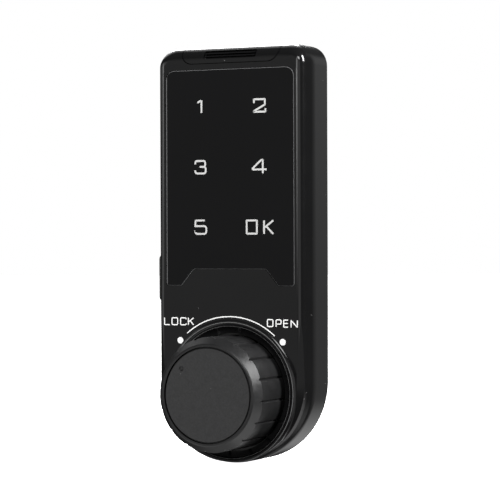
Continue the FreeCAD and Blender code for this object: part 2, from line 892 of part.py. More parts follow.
def battery_cover():
    skin = rolled_body(0.0, roll_y, plate_y, edge_roll, crown_roll)
    core = rolled_body(cover_thickness, roll_y + cover_thickness, plate_y,
                       inner_edge_roll, crown_roll - cover_thickness)
    lid = skin.common(cover_region(0.0)).cut(core)
    collar_bottom = cover_contact_z + contact_thickness
    collar = block(-collar_half_width, collar_half_width,
                   cell_y - collar_half_depth, cell_y + collar_half_depth,
                   collar_bottom, body_top - cover_thickness)
    hollow = block(-collar_half_width + collar_wall, collar_half_width - collar_wall,
                   cell_y - collar_half_depth + collar_wall, cell_y + collar_half_depth - collar_wall,
                   collar_bottom, body_top - cover_thickness)
    lid = join(lid, collar.cut(hollow))
    shallow = rolled_body(recess_depth, roll_y + recess_depth, plate_y,
                          edge_roll - recess_depth, crown_roll - recess_depth)
    recess_outline = rounded_rectangle(
        -recess_half_width, recess_half_width, recess_bottom, recess_top, recess_corner)
    recess = prism(recess_outline, face_y - cover_thickness, plate_y).cut(shallow)
    rib_pitch = (recess_top - recess_bottom) / 3
    ribs = [
        block(-recess_half_width + rib_inset, recess_half_width - rib_inset, face_y, plate_y,
              recess_bottom + place * rib_pitch - rib_height / 2,
              recess_bottom + place * rib_pitch + rib_height / 2)
        for place in (1, 2)
    ]
    return lid.cut(cut(recess, *ribs)).Solids[0]


def cover_contact():
    z = cover_contact_z
    return block(-contact_half_width, contact_half_width,
                 cell_y - contact_half_depth, cell_y + contact_half_depth,
                 z, z + contact_thickness)


def port_cover():
    outer_x = -half_width - port_cover_proud
    tab = block(outer_x, -half_width,
                port_centre_y - port_cover_half_depth, port_centre_y + port_cover_half_depth,
                port_centre_z - port_cover_half_height, port_centre_z + port_cover_half_height)
    sides = [edge for edge in tab.Edges
             if abs(edge.Vertexes[0].Point.x - edge.Vertexes[1].Point.x) > 1e-6]
    tab = tab.makeFillet(port_cover_corner, sides)
    rim = [edge for edge in tab.Edges
           if all(abs(vertex.Point.x - outer_x) < 1e-6 for vertex in edge.Vertexes)]
    tab = tab.makeFillet(port_cover_edge, rim)
    reach_y = port_half_depth - port_plug_gap
    reach_z = port_half_height - port_plug_gap
    plug = block(-half_width, -half_width + wall - port_plug_end_gap,
                 port_centre_y - reach_y, port_centre_y + reach_y,
                 port_centre_z - reach_z, port_centre_z + reach_z)
    return join(tab, plug)


def power_socket():
    start = -half_width + wall
    shell = block(start, start + socket_length, board_back_y, port_centre_y + port_half_depth,
                  port_centre_z - port_half_height, port_centre_z + port_half_height)
    mouth = block(start, start + socket_length - socket_wall * 3,
                  board_back_y + socket_wall, port_centre_y + port_half_depth - socket_wall,
                  port_centre_z - port_half_height + socket_wall,
                  port_centre_z + port_half_height - socket_wall)
    tongue = block(start + socket_wall * 2, start + socket_length,
                   port_centre_y - socket_wall, port_centre_y + socket_wall,
                   port_centre_z - port_half_height / 2, port_centre_z + port_half_height / 2)
    return join(shell.cut(mouth), tongue)


def lobed_outline():
    """Sixteen shallow arcs round the knob, with a narrow groove between each two."""
    edges = []
    pitch = 360.0 / lobe_count
    for index in range(lobe_count):
        groove = groove_phase + index * pitch
        start = groove + groove_half_angle
        end = groove + pitch - groove_half_angle
        lobe_start = polar(lobe_edge, start)
        lobe_end = polar(lobe_edge, end)
        edges.append(line(polar(groove_bottom, groove), lobe_start))
        edges.append(Part.Arc(lobe_start, polar(lobe_crest, (start + end) / 2), lobe_end).toShape())
        edges.append(line(lobe_end, polar(groove_bottom, groove + pitch)))
    return Part.Wire(edges)


def knob_grip():
    envelope = turned_polygon([
        (0.0, knob_front_y),
        (rim_radius, knob_front_y),
        (bezel_front_radius, knob_front_y + bezel_edge_break),
        (lobe_crest, knob_front_y + bezel_height),
        (lobe_crest, knob_back_y - bezel_edge_break),
        (lobe_crest - bezel_edge_break * 3, knob_back_y),
        (0.0, knob_back_y),
    ])
    grip = prism(lobed_outline(), knob_front_y, knob_back_y).common(envelope)
    seat_y = knob_front_y + cap_sink + cap_thickness
    pocket_y = seat_y + cap_pocket_depth
    web_y = pocket_y + knob_web
    square = drive_square / 2 + key_fit
    rear = ring(groove_bottom - knob_wall, hub_radius, web_y, knob_back_y)
    ribs = []
    for index in range(knob_rib_count):
        rib = block(hub_radius / 2, groove_bottom - knob_wall / 2, web_y, knob_back_y - knob_wall,
                    -knob_rib_width / 2, knob_rib_width / 2)
        rib.rotate(Vector(0, 0, 0), Vector(0, 1, 0), index * 360.0 / knob_rib_count)
        ribs.append(rib)
    return cut(
        grip,
        disc(cap_seat_radius, knob_front_y, seat_y),
        disc(cap_pocket_radius, seat_y, pocket_y),
        cut(rear, *ribs),
        disc(knob_screw_radius + screw_clearance, pocket_y, web_y),
        block(-square, square, web_y, knob_back_y, -square, square),
        disc(hub_radius, knob_back_y - hub_setback, knob_back_y),
    )


def spindle_front_y():
    """The spindle's square end stops at the knob's web."""
    return knob_front_y + cap_sink + cap_thickness + cap_pocket_depth + knob_web


def knob_cap():
    face = knob_front_y + cap_sink
    back = face + cap_thickness
    cap = turned_polygon([
        (0.0, face),
        (cap_face_radius - cap_edge, face),
        (cap_face_radius, face + cap_edge),
        (cap_face_radius, face + cap_step),
        (cap_radius, face + cap_step),
        (cap_radius, back),
        (0.0, back),
    ])
    centre = polar(dimple_offset, 90.0 + dot_angle, face)
    bowl_radius = (dimple_radius ** 2 + dimple_depth ** 2) / (2 * dimple_depth)
    bowl = Part.makeSphere(bowl_radius, centre - Vector(0, bowl_radius - dimple_depth, 0))
    return cap.cut(bowl)


def knob_screw():
    seat = spindle_front_y() - knob_web
    head = disc(knob_head_radius, seat - knob_head_height, seat)
    shank = disc(knob_screw_radius, seat, seat + knob_web + knob_screw_length)
    cross = [block(-x, x, seat - knob_head_height, seat - knob_head_height / 2, -z, z)
             for x, z in ((knob_cross_reach, knob_cross_half_width),
                          (knob_cross_half_width, knob_cross_reach))]
    return cut(join(head, shank), *cross)


def spindle():
    front = spindle_front_y()
    shoulder = knob_back_y - hub_setback + key_fit
    half_square = drive_square / 2
    half_tail = tail_square / 2
    cam_y = sleeve_length + rotor_gap
    tail_end = cam_y + cam_thickness - key_fit * 4
    rotor_seat = disc(spindle_radius, rotor_y, rotor_back_y).common(
        block(-rotor_flat, rotor_flat, rotor_y, rotor_back_y, -spindle_radius, spindle_radius))
    tail = disc(spindle_rear_radius, cam_y, tail_end).common(
        block(-half_tail, half_tail, cam_y, tail_end, -half_tail, half_tail))
    tail.rotate(Vector(0, 0, 0), Vector(0, 1, 0), -cam_angle)
    shaft = join(
        block(-half_square, half_square, front, shoulder, -half_square, half_square),
        disc(spindle_radius, shoulder, rotor_y),
        rotor_seat,
        disc(spindle_rear_radius, rotor_back_y, cam_y),
        tail,
    )
    return cut(
        shaft,
        disc(knob_screw_radius + tapped_clearance, front, front + knob_screw_length + tapped_depth_margin),
        disc(cam_screw_radius + tapped_clearance, tail_end - cam_screw_depth, tail_end),
        ring(spindle_radius, clip_groove_radius, rotor_back_y, clip_back_y()),
    )


def spindle_bush():
    sleeve = disc(bush_radius, well_floor_y, flange_back_y)
    flange = disc(bush_flange_radius, well_back_y, flange_back_y)
    bore = disc(spindle_radius + running_fit, well_floor_y, flange_back_y)
    return cut(join(sleeve, flange), bore)


def spindle_clip():
    clip = ring(clip_radius, clip_groove_radius, rotor_back_y, clip_back_y())
    mouth = block(0.0, clip_radius, rotor_back_y, clip_back_y(), -clip_mouth, clip_mouth)
    return clip.cut(mouth)


def locking_rotor():
    disc_body = disc(rotor_radius, rotor_y, rotor_back_y)
    seat = disc(spindle_radius + key_fit, rotor_y, rotor_back_y).common(
        block(-rotor_flat - key_fit, rotor_flat + key_fit, rotor_y, rotor_back_y,
              -rotor_radius, rotor_radius))
    notches = []
    notch_floor = rotor_radius + bolt_gap - bolt_travel - notch_clearance
    for angle in (0.0, 2 * dot_angle):
        notch = block(-notch_half_width, notch_half_width, rotor_y, rotor_back_y,
                      notch_floor, rotor_radius + notch_clearance)
        notch.rotate(Vector(0, 0, 0), Vector(0, 1, 0), -angle)
        notches.append(notch)
    track = Part.makeTorus(ball_orbit, ball_radius + track_clearance,
                           Vector(0, ball_y(), 0), Vector(0, 1, 0))
    dimples = []
    for angle in (0.0, 2 * dot_angle):
        spot = polar(ball_orbit, ball_angle + angle, ball_y())
        dimples.append(Part.makeSphere(ball_radius + track_clearance * 1.5, spot))
    return cut(disc_body, seat, track, *notches, *dimples)


def ball_y():
    return rotor_back_y + ball_radius - ball_proud


def detent_ball():
    return Part.makeSphere(ball_radius, polar(ball_orbit, ball_angle, ball_y()))


def detent_spring():
    reach = ball_radius + detent_wire_radius
    touch = math.sqrt(reach ** 2 - detent_spring_radius ** 2)
    start_y = ball_y() + touch + tapped_clearance
    length = detent_bore_bottom - detent_wire_radius - start_y
    spring = coil(detent_spring_radius, detent_wire_radius, length, detent_spring_turns,
                  Vector(0, 0, 0))
    spring.rotate(Vector(0, 0, 0), Vector(1, 0, 0), -90)
    spring.translate(polar(ball_orbit, ball_angle, start_y))
    return spring


def lock_bolt():
    tip_z = rotor_radius + bolt_gap
    pin = Part.makeCylinder(bolt_radius, bolt_length, Vector(0, bolt_y, tip_z))
    tip = [edge for edge in pin.Edges
           if all(abs(vertex.Point.z - tip_z) < 1e-6 for vertex in edge.Vertexes)]
    return pin.makeChamfer(bolt_chamfer, tip)


def solenoid():
    case = block(-solenoid_half_width, solenoid_half_width, solenoid_front, solenoid_back,
                 solenoid_bottom, solenoid_top)
    bore_top = rotor_radius + bolt_gap + bolt_length + bolt_gap
    bore = Part.makeCylinder(bolt_bore_radius, bore_top - solenoid_bottom,
                             Vector(0, bolt_y, solenoid_bottom))
    corners = [edge for edge in case.Edges
               if abs(edge.Vertexes[0].Point.z - edge.Vertexes[1].Point.z) > 1e-6]
    return case.makeFillet(solenoid_corner, corners).cut(bore)


def solenoid_bracket():
    """A sheet strap over the solenoid, with a foot on each side screwed to the housing."""
    inner = solenoid_half_width
    outer = inner + bracket_thickness
    foot_end = outer + bracket_foot
    foot_back = inner_face_y + bracket_thickness
    strap = join(
        block(-outer, outer, solenoid_back, solenoid_back + bracket_thickness,
              bracket_bottom, bracket_top),
        block(inner, outer, inner_face_y, solenoid_back, bracket_bottom, bracket_top),
        block(-outer, -inner, inner_face_y, solenoid_back, bracket_bottom, bracket_top),
        block(inner, foot_end, inner_face_y, foot_back, bracket_bottom, bracket_top),
        block(-foot_end, -inner, inner_face_y, foot_back, bracket_bottom, bracket_top),
    )
    holes = [disc(board_screw_radius + screw_clearance, inner_face_y, foot_back, x, z)
             for x, z in bracket_screw_spots()]
    return cut(strap, *holes)


def cam_blade():
    y0 = sleeve_length + rotor_gap
    y1 = y0 + cam_thickness
    outline = rounded_outline([
        (-cam_end_radius, -cam_end_radius, cam_end_radius - cam_end_flat),
        (cam_shoulder, -cam_end_radius, cam_shoulder_corner),
        (cam_reach, -cam_tip_half_width, cam_tip_corner),
        (cam_reach, cam_tip_half_width, cam_tip_corner),
        (cam_shoulder, cam_end_radius, cam_shoulder_corner),
        (-cam_end_radius, cam_end_radius, cam_end_radius - cam_end_flat),
    ])
    square = tail_square / 2 + cam_square_fit
    hole = disc(spindle_rear_radius + cam_square_fit, y0, y1).common(
        block(-square, square, y0, y1, -square, square))
    blade = prism(outline, y0, y1).cut(hole)
    blade.rotate(Vector(0, 0, 0), Vector(0, 1, 0), -cam_angle)
    return blade


def cam_washer():
    y0 = sleeve_length + rotor_gap + cam_thickness
    return ring(cam_washer_radius, cam_screw_radius + screw_clearance, y0, y0 + cam_washer_thickness)


def cam_screw():
    seat = sleeve_length + rotor_gap + cam_thickness + cam_washer_thickness
    corner = cam_head_flats / math.sqrt(3)
    corners = [polar(corner, 60 * index) for index in range(6)]
    head = prism(Part.makePolygon(corners + corners[:1]), seat, seat + cam_head_height)
    tip_y = seat - cam_washer_thickness - cam_screw_depth + tapped_depth_margin
    shank = disc(cam_screw_radius, tip_y, seat)
    return join(head, shank)


pieces = {
    "front_housing": front_housing(),
    "back_plate": back_plate(),
    "spindle_sleeve": spindle_sleeve(),
    "door_gasket": door_gasket(),
    "housing_screws": housing_screws(),
    "touch_window": touch_window(),
    "window_adhesive": window_adhesive(),
    "light_guide": light_guide(),
    "key_leds": key_leds(),
    "keypad_board": keypad_board(),
    "board_screws": board_screws(),
    "buzzer": buzzer(),
    "control_chip": control_chip(),
    "battery_tray": battery_tray(),
    "battery_contact": battery_contact(),
    "battery_springs": battery_springs(),
    "battery_cover": battery_cover(),
    "cover_contact": cover_contact(),
    "port_cover": port_cover(),
    "power_socket": power_socket(),
    "knob_grip": knob_grip(),
    "knob_cap": knob_cap(),
    "knob_screw": knob_screw(),
    "spindle": spindle(),
    "spindle_bush": spindle_bush(),
    "spindle_clip": spindle_clip(),
    "locking_rotor": locking_rotor(),
    "detent_ball": detent_ball(),
    "detent_spring": detent_spring(),
    "lock_bolt": lock_bolt(),
    "solenoid": solenoid(),
    "solenoid_bracket": solenoid_bracket(),
    "bracket_screws": bracket_screws(),
    "cam_blade": cam_blade(),
    "cam_washer": cam_washer(),
    "cam_screw": cam_screw(),
}
for number, x in enumerate(cell_columns(), 1):
    pieces["battery_cell_%d" % number] = battery_cell(x)

os.makedirs("parts", exist_ok=True)
for name, shape in pieces.items():
    shape.exportStep("parts/%s.step" % name)
    print(name, len(shape.Solids), shape.isValid(), round(shape.Volume, 1))
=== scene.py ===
import math

import bmesh
import bpy
from mathutils import Matrix, Vector


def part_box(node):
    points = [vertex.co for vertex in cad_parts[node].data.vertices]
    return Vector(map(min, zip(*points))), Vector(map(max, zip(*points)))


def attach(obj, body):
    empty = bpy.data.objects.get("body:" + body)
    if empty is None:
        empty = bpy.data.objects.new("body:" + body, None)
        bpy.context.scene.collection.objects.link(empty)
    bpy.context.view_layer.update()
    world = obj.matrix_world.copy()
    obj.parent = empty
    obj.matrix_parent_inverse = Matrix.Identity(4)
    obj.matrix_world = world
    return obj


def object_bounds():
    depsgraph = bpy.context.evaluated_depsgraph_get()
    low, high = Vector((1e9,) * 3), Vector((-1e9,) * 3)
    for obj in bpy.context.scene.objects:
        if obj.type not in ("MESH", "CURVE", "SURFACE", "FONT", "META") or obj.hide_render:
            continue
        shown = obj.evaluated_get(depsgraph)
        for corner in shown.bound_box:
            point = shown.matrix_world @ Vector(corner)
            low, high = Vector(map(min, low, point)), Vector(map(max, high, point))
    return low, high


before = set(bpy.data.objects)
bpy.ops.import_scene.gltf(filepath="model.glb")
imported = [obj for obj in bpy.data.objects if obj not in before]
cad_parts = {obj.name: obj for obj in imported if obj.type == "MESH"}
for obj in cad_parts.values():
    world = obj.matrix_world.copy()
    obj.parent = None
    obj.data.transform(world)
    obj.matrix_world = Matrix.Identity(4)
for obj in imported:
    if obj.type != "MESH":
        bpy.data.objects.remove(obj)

cad_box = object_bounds()


# Camera: a long lens a little to the right of the lock, level with its lowest touch keys, as
# the photograph was taken. The knob's axis meets the housing's face at the spot in pixels.
face_front = -0.020
camera_turn = math.radians(26.35)
camera_tip = math.radians(-0.283)
camera_roll = math.radians(-0.212)
focal_pixels = 2252.2
frame_pixels = 500
sensor_width = 36.0
near_limit = 0.01
axis_pixel = Vector((229.998, 392.376))
axis_depth = 0.7713
axis_on_face = Vector((0.0, face_front, 0.0))

ahead = Vector((
    -math.sin(camera_turn) * math.cos(camera_tip),
    math.cos(camera_turn) * math.cos(camera_tip),
    math.sin(camera_tip),
))
level_right = ahead.cross(Vector((0.0, 0.0, 1.0))).normalized()
level_up = level_right.cross(ahead)
right = level_right * math.cos(camera_roll) + level_up * math.sin(camera_roll)
up = level_up * math.cos(camera_roll) - level_right * math.sin(camera_roll)
aside = (axis_pixel.x - frame_pixels / 2) / focal_pixels * axis_depth
below = (axis_pixel.y - frame_pixels / 2) / focal_pixels * axis_depth
eye = axis_on_face - right * aside + up * below - ahead * axis_depth

camera = bpy.data.objects.new("camera", bpy.data.cameras.new("camera"))
bpy.context.scene.collection.objects.link(camera)
camera.data.sensor_width = sensor_width
camera.data.lens = focal_pixels / frame_pixels * sensor_width
camera.data.clip_start = near_limit
camera.matrix_world = Matrix((
    (right.x, up.x, -ahead.x, eye.x),
    (right.y, up.y, -ahead.y, eye.y),
    (right.z, up.z, -ahead.z, eye.z),
    (0.0, 0.0, 0.0, 1.0),
))
bpy.context.scene.camera = camera
bpy.context.scene.view_settings.view_transform = "Standard"


# Studio: a dim room with soft glows, four soft boxes and a white floor. The camera itself sees
# the room white. A glow is named for the part of the housing that mirrors it, and has a
# direction, the cosines off it where it starts and where it is full, and a strength.
room_light = 0.05
backdrop_light = 1.0
room_glows = {
    "face": ((-0.444, -0.896, 0.0), 0.72, 0.96, 0.29),
    "left_edge": ((-0.86, -0.50, 0.0), 0.86, 0.97, 0.80),
    "right_edge": ((0.342, -0.94, 0.0), 0.92, 0.98, 0.60),
    "right_side": ((0.444, 0.896, 0.0), 0.86, 0.99, 0.15),
    "upper_side": ((0.430, 0.868, 0.250), 0.955, 1.0, 0.16),
    "lower_side": ((0.02, 0.890, -0.456), 0.915, 1.01, 0.70),
    "lower_bevel": ((-0.35, -0.40, -0.85), 0.65, 0.95, 0.90),
    "lower_right_edge": ((0.62, 0.0, -0.78), 0.72, 0.95, 1.50),
    "top_edge": ((-0.444, 0.58, 0.68), 0.86, 0.97, 1.40),
}


def operate(tree, kind, operation, *terms):
    """The outputs of a Math or Vector Math node on terms, constants or other nodes' outputs."""
    step = tree.nodes.new(kind)
    step.operation = operation
    for socket, term in zip(step.inputs, terms):
        if isinstance(term, bpy.types.NodeSocket):
            tree.links.new(term, socket)
        else:
            socket.default_value = term
    return step.outputs


def between(tree, pattern, low, high, start=0.35, end=0.65, slope="LINEAR"):
    """A number that goes from low to high while a pattern goes from start to end."""
    span = tree.nodes.new("ShaderNodeMapRange")
    span.interpolation_type = slope
    span.inputs["From Min"].default_value = start
    span.inputs["From Max"].default_value = end
    span.inputs["To Min"].default_value = low
    span.inputs["To Max"].default_value = high
    tree.links.new(pattern, span.inputs["Value"])
    return span.outputs["Result"]


world = bpy.data.worlds.new("studio")
world.use_nodes = True
bpy.context.scene.world = world
studio = world.node_tree
studio.nodes.clear()
studio_out = studio.nodes.new("ShaderNodeOutputWorld")
studio_light = studio.nodes.new("ShaderNodeBackground")
studio_light.inputs["Color"].default_value = (1.0, 1.0, 1.0, 1.0)
direction = studio.nodes.new("ShaderNodeTexCoord").outputs["Generated"]
brightness = room_light
for towards, start, full, strength in room_glows.values():
    towards = Vector(towards).normalized()
    nearness = operate(studio, "ShaderNodeVectorMath", "DOT_PRODUCT", direction, towards)["Value"]
    glow = between(studio, nearness, 0.0, strength, start, full, "SMOOTHSTEP")
    brightness = operate(studio, "ShaderNodeMath", "ADD", glow, brightness)["Value"]
seen = studio.nodes.new("ShaderNodeLightPath")
backdrop = studio.nodes.new("ShaderNodeMix")
backdrop.inputs["B"].default_value = backdrop_light
studio.links.new(seen.outputs["Is Camera Ray"], backdrop.inputs["Factor"])
studio.links.new(brightness, backdrop.inputs["A"])
studio.links.new(backdrop.outputs["Result"], studio_light.inputs["Strength"])
studio.links.new(studio_light.outputs["Background"], studio_out.inputs["Surface"])


def soft_box(name, place, aim, width, height, power, mirrored):
    """A lamp behind a cloth, width by height in metres, that gloss may mirror or not."""
    lamp = bpy.data.lights.new(name, "AREA")
    lamp.shape = "RECTANGLE"
    lamp.size = width
    lamp.size_y = height
    lamp.energy = power
    back = (Vector(place) - Vector(aim)).to_track_quat("Z", "Y").to_matrix().to_4x4()
    stand = bpy.data.objects.new(name, lamp)
    stand.matrix_world = Matrix.Translation(place) @ back
    stand.visible_glossy = mirrored
    bpy.context.scene.collection.objects.link(stand)


soft_box("front_soft_box", (0.05, -0.85, 0.80), aim=(0.0, 0.0, 0.04),
         width=0.4, height=0.4, power=14.0, mirrored=False)
soft_box("key_soft_box", (0.40, -0.78, 0.68), aim=(0.0, 0.0, 0.04),
         width=0.3, height=0.3, power=3.0, mirrored=True)
soft_box("right_soft_box", (0.82, 0.0, 0.58), aim=(0.0, -0.03, 0.02),
         width=0.24, height=0.55, power=24.0, mirrored=True)
soft_box("back_soft_box", (-0.45, 0.80, 0.75), aim=(0.0, 0.0, 0.05),
         width=0.5, height=0.5, power=12.0, mirrored=True)

floor_radius = 4.0
floor_gap = 0.0002
floor_grey = 0.86
floor_roughness = 0.9
floor_glow = 1.2
floor_mesh = bpy.data.meshes.new("floor")
floor_disc = bmesh.new()
bmesh.ops.create_circle(floor_disc, cap_ends=True, segments=96, radius=floor_radius,
                        matrix=Matrix.Translation((0.0, 0.0, cad_box[0].z - floor_gap)))
floor_disc.to_mesh(floor_mesh)
floor_disc.free()
floor = bpy.data.objects.new("floor", floor_mesh)
bpy.context.scene.collection.objects.link(floor)
floor_paint = bpy.data.materials.new("floor_paint")
floor_paint.use_nodes = True
floor_shader = floor_paint.node_tree.nodes["Principled BSDF"]
floor_shader.inputs["Base Color"].default_value = (floor_grey, floor_grey, floor_grey, 1.0)
floor_shader.inputs["Roughness"].default_value = floor_roughness
floor_shader.inputs["Emission Color"].default_value = (1.0, 1.0, 1.0, 1.0)
floor_shader.inputs["Emission Strength"].default_value = floor_glow
floor_mesh.materials.append(floor_paint)
floor.visible_glossy = False
floor.visible_diffuse = False


# Housing and battery cover: one moulded shell in black ABS with a lid of the same plastic in
# its top edge. The face is moulded glossy and the sides are a little duller. Some dust lies on
# it, and pale lines of painted highlight run along the step round the window and the lip round the
# knob.
def new_finish(name, metallic=0.0):
    """A material with its shader, and the surface's place on the object in metres."""
    made = bpy.data.materials.new(name)
    made.use_nodes = True
    tree = made.node_tree
    shader = tree.nodes["Principled BSDF"]
    shader.inputs["Metallic"].default_value = metallic
    place = tree.nodes.new("ShaderNodeTexCoord")
    return made, tree, shader, place


def mottle(tree, place, size, detail=3.0, crowding=(1.0, 1.0, 1.0)):
    """Noise whose blotches are about size metres across, less where crowded along an axis."""
    scaled = tree.nodes.new("ShaderNodeMapping")
    scaled.inputs["Scale"].default_value = [share / size for share in crowding]
    noise = tree.nodes.new("ShaderNodeTexNoise")
    noise.inputs["Scale"].default_value = 1.0
    noise.inputs["Detail"].default_value = detail
    tree.links.new(place.outputs["Object"], scaled.inputs["Vector"])
    tree.links.new(scaled.outputs["Vector"], noise.inputs["Vector"])
    return noise.outputs["Fac"]


def specks(tree, place, spacing, size, soft_rim=1.6):
    """Grains of dust of a size, scattered through cells that are a spacing wide, in metres."""
    scaled = tree.nodes.new("ShaderNodeMapping")
    scaled.inputs["Scale"].default_value = [1.0 / spacing] * 3
    cells = tree.nodes.new("ShaderNodeTexVoronoi")
    cells.inputs["Scale"].default_value = 1.0
    tree.links.new(place.outputs["Object"], scaled.inputs["Vector"])
    tree.links.new(scaled.outputs["Vector"], cells.inputs["Vector"])
    reach = size / spacing
    return between(tree, cells.outputs["Distance"], 1.0, 0.0, reach, reach * soft_rim)


def along_axes(tree, vector):
    """A vector's X, Y and Z."""
    split = tree.nodes.new("ShaderNodeSeparateXYZ")
    tree.links.new(vector, split.inputs["Vector"])
    return split.outputs


def blend_colours(tree, share, first, second):
    """A colour that goes from the first to the second with a share."""
    mix = tree.nodes.new("ShaderNodeMix")
    mix.data_type = "RGBA"
    for letter, colour in (("A", first), ("B", second)):
        socket = next(end for end in mix.inputs if end.name == letter and end.type == "RGBA")
        if isinstance(colour, tuple):
            socket.default_value = (*colour, 1.0)
        else:
            tree.links.new(colour, socket)
    tree.links.new(share, mix.inputs["Factor"])
    return next(end for end in mix.outputs if end.type == "RGBA")


def grain(tree, shader, pattern, depth):
    """Raises the surface by a pattern, depth metres high, on top of what raises it already."""
    bump = tree.nodes.new("ShaderNodeBump")
    bump.inputs["Distance"].default_value = depth
    tree.links.new(pattern, bump.inputs["Height"])
    if shader.inputs["Normal"].is_linked:
        tree.links.new(shader.inputs["Normal"].links[0].from_socket, bump.inputs["Normal"])
    tree.links.new(bump.outputs["Normal"], shader.inputs["Normal"])


def finish(made, *names):
    """Gives a finish to the solids of these names."""
    for name in names:
        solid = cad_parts[name]
        for slot in solid.material_slots:
            slot.material = made
        if not solid.material_slots:
            solid.data.materials.append(made)


housing_black, tree, shader, place = new_finish("housing_black")
facing = along_axes(tree, place.outputs["Normal"])
position = along_axes(tree, place.outputs["Object"])

# The gloss holds where the surface faces forward, and the satin on the rest.
housing_gloss = (0.042, 0.090)
housing_satin = (0.1275, 0.1725)
forward_tilt = (-0.98, -0.80)
handled = mottle(tree, place, 0.009, detail=5.0)
glossy = between(tree, handled, *housing_gloss)
satin = between(tree, handled, *housing_satin)
forward = between(tree, facing["Y"], 1.0, 0.0, *forward_tilt)
roughness = tree.nodes.new("ShaderNodeMix")
tree.links.new(forward, roughness.inputs["Factor"])
tree.links.new(satin, roughness.inputs["A"])
tree.links.new(glossy, roughness.inputs["B"])
tree.links.new(roughness.outputs["Result"], shader.inputs["Roughness"])

# Painted highlights: pale lines on the step's two long edges, stronger towards the top, and on the
# lip's crest and inner edge, standing in for light caught on those edges. Each is given by where
# it lies and half its width.
housing_dark = (0.0030, 0.0030, 0.0031)
housing_light = (0.0046, 0.0046, 0.0048)
dust_grey = (0.16, 0.16, 0.16)
painted_highlight_grey = (0.10, 0.10, 0.10)
step_edge = 0.0256
step_highlight_half = 0.00022
step_bottom = 0.032
step_top = 0.112
highlight_front = face_front + 0.0001
highlight_back = face_front + 0.0004
lip_highlights = ((0.0240, 0.00012), (0.0227, 0.00010))
black = blend_colours(tree, mottle(tree, place, 0.02), housing_dark, housing_light)
dust = specks(tree, place, spacing=0.0050, size=0.00009)
dusty = blend_colours(tree, dust, black, dust_grey)
across = operate(tree, "ShaderNodeMath", "ABSOLUTE", position["X"])["Value"]
on_step = operate(tree, "ShaderNodeMath", "COMPARE", across, step_edge, step_highlight_half)["Value"]
up_step = between(tree, position["Z"], 0.0, 1.0, step_bottom, step_top)
on_face = between(tree, position["Y"], 1.0, 0.0, highlight_front, highlight_back)
painted_highlight = operate(tree, "ShaderNodeMath", "MULTIPLY", on_step, up_step)["Value"]
painted_highlight = operate(tree, "ShaderNodeMath", "MULTIPLY", painted_highlight, on_face)["Value"]
off_axis = operate(tree, "ShaderNodeVectorMath", "MULTIPLY", place.outputs["Object"],
                   (1.0, 0.0, 1.0))["Vector"]
radius = operate(tree, "ShaderNodeVectorMath", "LENGTH", off_axis)["Value"]
for line_radius, highlight_half in lip_highlights:
    ring = operate(tree, "ShaderNodeMath", "COMPARE", radius, line_radius, highlight_half)["Value"]
    painted_highlight = operate(tree, "ShaderNodeMath", "MAXIMUM", painted_highlight, ring)["Value"]
# Painted highlight: the step and lip lines are blended into the base colour in pale grey.
tree.links.new(blend_colours(tree, painted_highlight, dusty, painted_highlight_grey), shader.inputs["Base Color"])

# The side's long roll into the face: the shading leans forward by side_draft over this stretch
# of the side, measured back from the face, and less where the surface turns up at the crown.
side_draft = 0.28
side_draft_start = 0.0017
side_draft_peak = 0.0029
side_draft_hold = 0.0064
side_draft_end = 0.0104
crown_tilt = (0.15, 0.60)
rising = between(tree, position["Y"], 0.0, -side_draft,
                 face_front + side_draft_start, face_front + side_draft_peak)
falling = between(tree, position["Y"], -side_draft, 0.0,
                  face_front + side_draft_hold, face_front + side_draft_end)
draft = operate(tree, "ShaderNodeMath", "MAXIMUM", rising, falling)["Value"]
below_crown = between(tree, facing["Z"], 1.0, 0.0, *crown_tilt)
draft = operate(tree, "ShaderNodeMath", "MULTIPLY", draft, below_crown)["Value"]
lean = tree.nodes.new("ShaderNodeCombineXYZ")
tree.links.new(draft, lean.inputs["Y"])
skin = tree.nodes.new("ShaderNodeNewGeometry").outputs["Normal"]
leant = operate(tree, "ShaderNodeVectorMath", "ADD", skin, lean.outputs["Vector"])["Vector"]
drafted = operate(tree, "ShaderNodeVectorMath", "NORMALIZE", leant)["Vector"]
tree.links.new(drafted, shader.inputs["Normal"])
grain(tree, shader, mottle(tree, place, 0.0014, detail=2.0), depth=0.0000012)
grain(tree, shader, mottle(tree, place, 0.00022, detail=1.0), depth=0.0000012)
finish(housing_black, "front_housing", "battery_cover")


# Touch window: a pane of black printed acrylic, polished and glued into the housing's seat.
# Its chamfer and its left border are painted paler, a painted highlight along the pane's edges.
pane_dark = (0.0015, 0.0015, 0.0017)
pane_light = (0.0025, 0.0025, 0.0028)
pane_highlight_grey = (0.13, 0.13, 0.132)
pane_roughness = (0.03, 0.09)
pane_mirror = 0.30
chamfer_tilt = (-0.98, -0.90)
left_highlight_band = (-0.0243, -0.0240)
window_black, tree, shader, place = new_finish("window_black")
facing = along_axes(tree, place.outputs["Normal"])
position = along_axes(tree, place.outputs["Object"])
black = blend_colours(tree, mottle(tree, place, 0.03), pane_dark, pane_light)
chamfer = between(tree, facing["Y"], 0.0, 1.0, *chamfer_tilt)
left_highlight = between(tree, position["X"], 1.0, 0.0, *left_highlight_band)
# Painted highlight: the chamfer and the left border strip get a pale grey base colour.
painted_edge_highlight = operate(tree, "ShaderNodeMath", "MAXIMUM", chamfer, left_highlight)["Value"]
tree.links.new(blend_colours(tree, painted_edge_highlight, black, pane_highlight_grey), shader.inputs["Base Color"])
wiped = between(tree, mottle(tree, place, 0.012, detail=6.0), *pane_roughness)
tree.links.new(wiped, shader.inputs["Roughness"])
shader.inputs["Specular IOR Level"].default_value = pane_mirror
grain(tree, shader, mottle(tree, place, 0.006, detail=1.0), depth=0.0000010)
finish(window_black, "touch_window")


# Legends: the key numbers and OK, printed on the pane in white, and LOCK and OPEN, the arc
# and the two dots round the knob, printed on the housing. Each is a thin flat film of ink that
# starts just inside the surface, and each of its strokes lies a little in front of the last.
ink_height = 0.00002
ink_sink = 0.00001
ink_layer = 0.000004
ink_roughness = (0.35, 0.55)
bend_steps = 6


